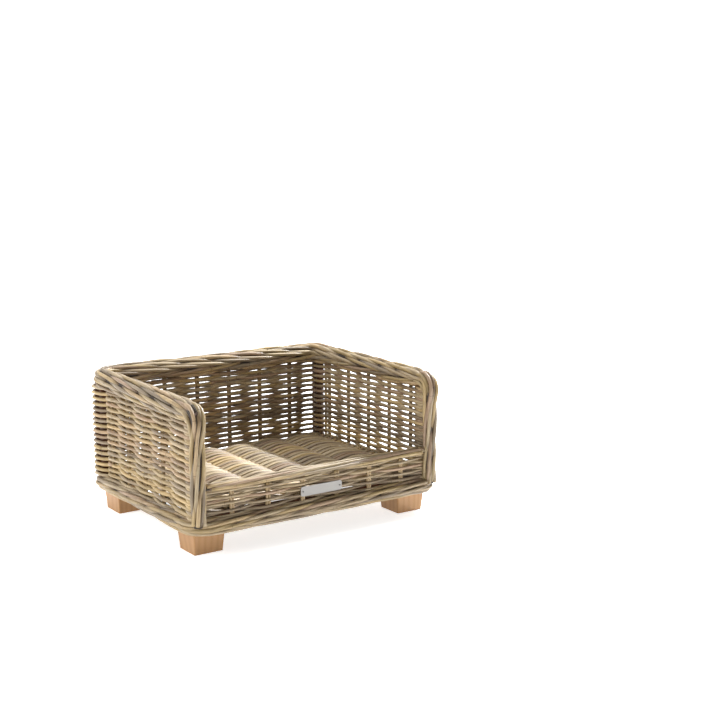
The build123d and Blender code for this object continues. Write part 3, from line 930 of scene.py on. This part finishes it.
rods = [front_row(i) for i in range(FRONT_ROWS)]
lay_rods("weave_front", rods, kubu_weave, ["wall_weavers_front"])
front_low, front_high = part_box("wall_stakes_front")
front_places = [(x, -wall_y - 3.5 * MM) for x in spread(BACK_PAIRS, BACK_SPACING)]
rods = stake_rods(front_places, front_low[2] - TUCK, front_high[2] + 3 * MM, (1, 0))
lay_rods("stakes_front", rods, kubu_stake, ["wall_stakes_front"])

# %% [markdown]
# The rim of the front wall is a shallow roll of four lanes, with rods about twice as long as elsewhere.

# %% Rim of the front wall
SILL_HALF_WIDE = 15 * MM
SILL_HALF_TALL = 10 * MM
SILL_ROD = 7.0 * MM
sill_middle = (sill_low[2] + sill_high[2]) / 2
sill_reach = front_half + 6 * MM
sill_route = Route([(-sill_reach, -wall_y, sill_middle), (sill_reach, -wall_y, sill_middle)], [])
sill_border = Border(
    sill_route,
    [(0.0, SILL_HALF_WIDE, SILL_HALF_TALL), (sill_route.length, SILL_HALF_WIDE, SILL_HALF_TALL)],
    [Lane(130, 70, 300 * MM), Lane(74, 4, 330 * MM), Lane(10, -66, 360 * MM), Lane(-60, -128, 300 * MM)],
    SILL_ROD,
    5.0 * MM,
)
lay_border("sill_rim", sill_border, 0.0, sill_route.length, ["sill_border"])

# %% [markdown]
# The poles are peeled rattan cane, reddish brown, darkened further as painted shade. Their satin varnish
# gives a soft highlight along the pole.
# They keep their CAD shapes and show only through the weave. A second cane stands beside each back post, so
# the rows there cross a wide dark strip. The feet are planed pine, and a clear matt varnish leaves their fine
# grain pale. The screws, the name plate and its pins are brushed steel, which blurs what it reflects.

# %% Poles, feet and metal
def cane():
    """Peeled rattan cane, varnished, mottled in patches of about 11 mm, its reddish brown darkened as painted
    shade.
    """
    made, tree, shader = new_material("varnished_cane")
    place = node(tree, "ShaderNodeTexCoord").outputs["Object"]
    noise = node(tree, "ShaderNodeTexNoise", links={"Vector": place}, values={"Scale": 90.0, "Detail": 4.0})
    # These cane colours are darker than lit cane: painted shade for the poles behind the weave.
    cane_stops = [(0.3, "3A2414"), (0.7, "643B1F")]
    colour = node(tree, RAMP, links={"Fac": noise.outputs["Fac"]}, stops=cane_stops)
    tree.links.new(colour.outputs["Color"], shader.inputs["Base Color"])
    shader.inputs["Roughness"].default_value = 0.38
    return made


def pine():
    """Planed pine, clear matt varnish: faint grain about 10 mm apart, drawn out down the foot."""
    made, tree, shader = new_material("varnished_pine")
    place = node(tree, "ShaderNodeTexCoord").outputs["Object"]
    stretched = node(
        tree, "ShaderNodeMapping", links={"Vector": place}, values={"Scale": (0.55, 0.55, 0.08)}
    ).outputs["Vector"]
    rings = node(
        tree,
        "ShaderNodeTexWave",
        {"wave_type": "RINGS", "rings_direction": "Z"},
        {"Vector": stretched},
        {"Scale": 55.0, "Distortion": 3.5, "Detail": 3.0, "Detail Scale": 1.2},
    ).outputs["Fac"]
    pine_stops = [(0.0, "A67C4E"), (0.6, "A2784A"), (1.0, "9C7244")]
    colour = node(tree, RAMP, links={"Fac": rings}, stops=pine_stops)
    bump = node(
        tree, "ShaderNodeBump", links={"Height": rings}, values={"Strength": 0.12, "Distance": 0.3 * MM}
    )
    tree.links.new(colour.outputs["Color"], shader.inputs["Base Color"])
    tree.links.new(bump.outputs["Normal"], shader.inputs["Normal"])
    shader.inputs["Roughness"].default_value = 0.5
    return made


def steel(name, colour, roughness):
    """Brushed steel of a colour: lines along X, 0.4 mm apart in height."""
    made, tree, shader = new_material(name)
    place = node(tree, "ShaderNodeTexCoord").outputs["Object"]
    brushed = node(
        tree, "ShaderNodeMapping", links={"Vector": place}, values={"Scale": (20.0, 600.0, 2500.0)}
    ).outputs["Vector"]
    noise = node(tree, "ShaderNodeTexNoise", links={"Vector": brushed}, values={"Scale": 1.0})
    bump = node(
        tree,
        "ShaderNodeBump",
        links={"Height": noise.outputs["Fac"]},
        values={"Strength": 0.1, "Distance": 0.05 * MM},
    )
    tree.links.new(bump.outputs["Normal"], shader.inputs["Normal"])
    shader.inputs["Base Color"].default_value = linear(colour)
    shader.inputs["Metallic"].default_value = 1.0
    shader.inputs["Roughness"].default_value = roughness
    return made


varnished_cane = cane()
cane_bottom = foot_high[2] - 4 * MM
cane_top = border_low[2] + 8 * MM
for side, x in side_places.items():
    place = [(x, wall_y - CANE_SHIFT, z) for z in np.linspace(cane_bottom, cane_top, 8)]
    lay_rods(f"corner_cane_{side}", [Rod(place, CORNER_POST / 2)], varnished_cane)

# %% [markdown]
# The other CAD parts keep their meshes and only get a finish. The record names a slot for each of them. The
# pins share the plate's slot but are darker.

# %% Finishes of the CAD parts
finishes = {
    "rattan_pole": varnished_cane,
    "foot_wood": pine(),
    "screw_steel": steel("zinc_steel", "6E6C68", 0.4),
    "plate_steel": steel("satin_steel", "827F7B", 0.42),
}
node_finishes = {"plate_pins": steel("dark_steel", "4A4844", 0.45)}
for part in frame["record"]["subparts"]:
    finish = node_finishes.get(part["node"], finishes.get(part["material_slot"]))
    if finish:
        mesh = frame["nodes"][part["node"]].data
        mesh.materials.clear()
        mesh.materials.append(finish)
print("finishes on CAD nodes:", sorted(finishes))
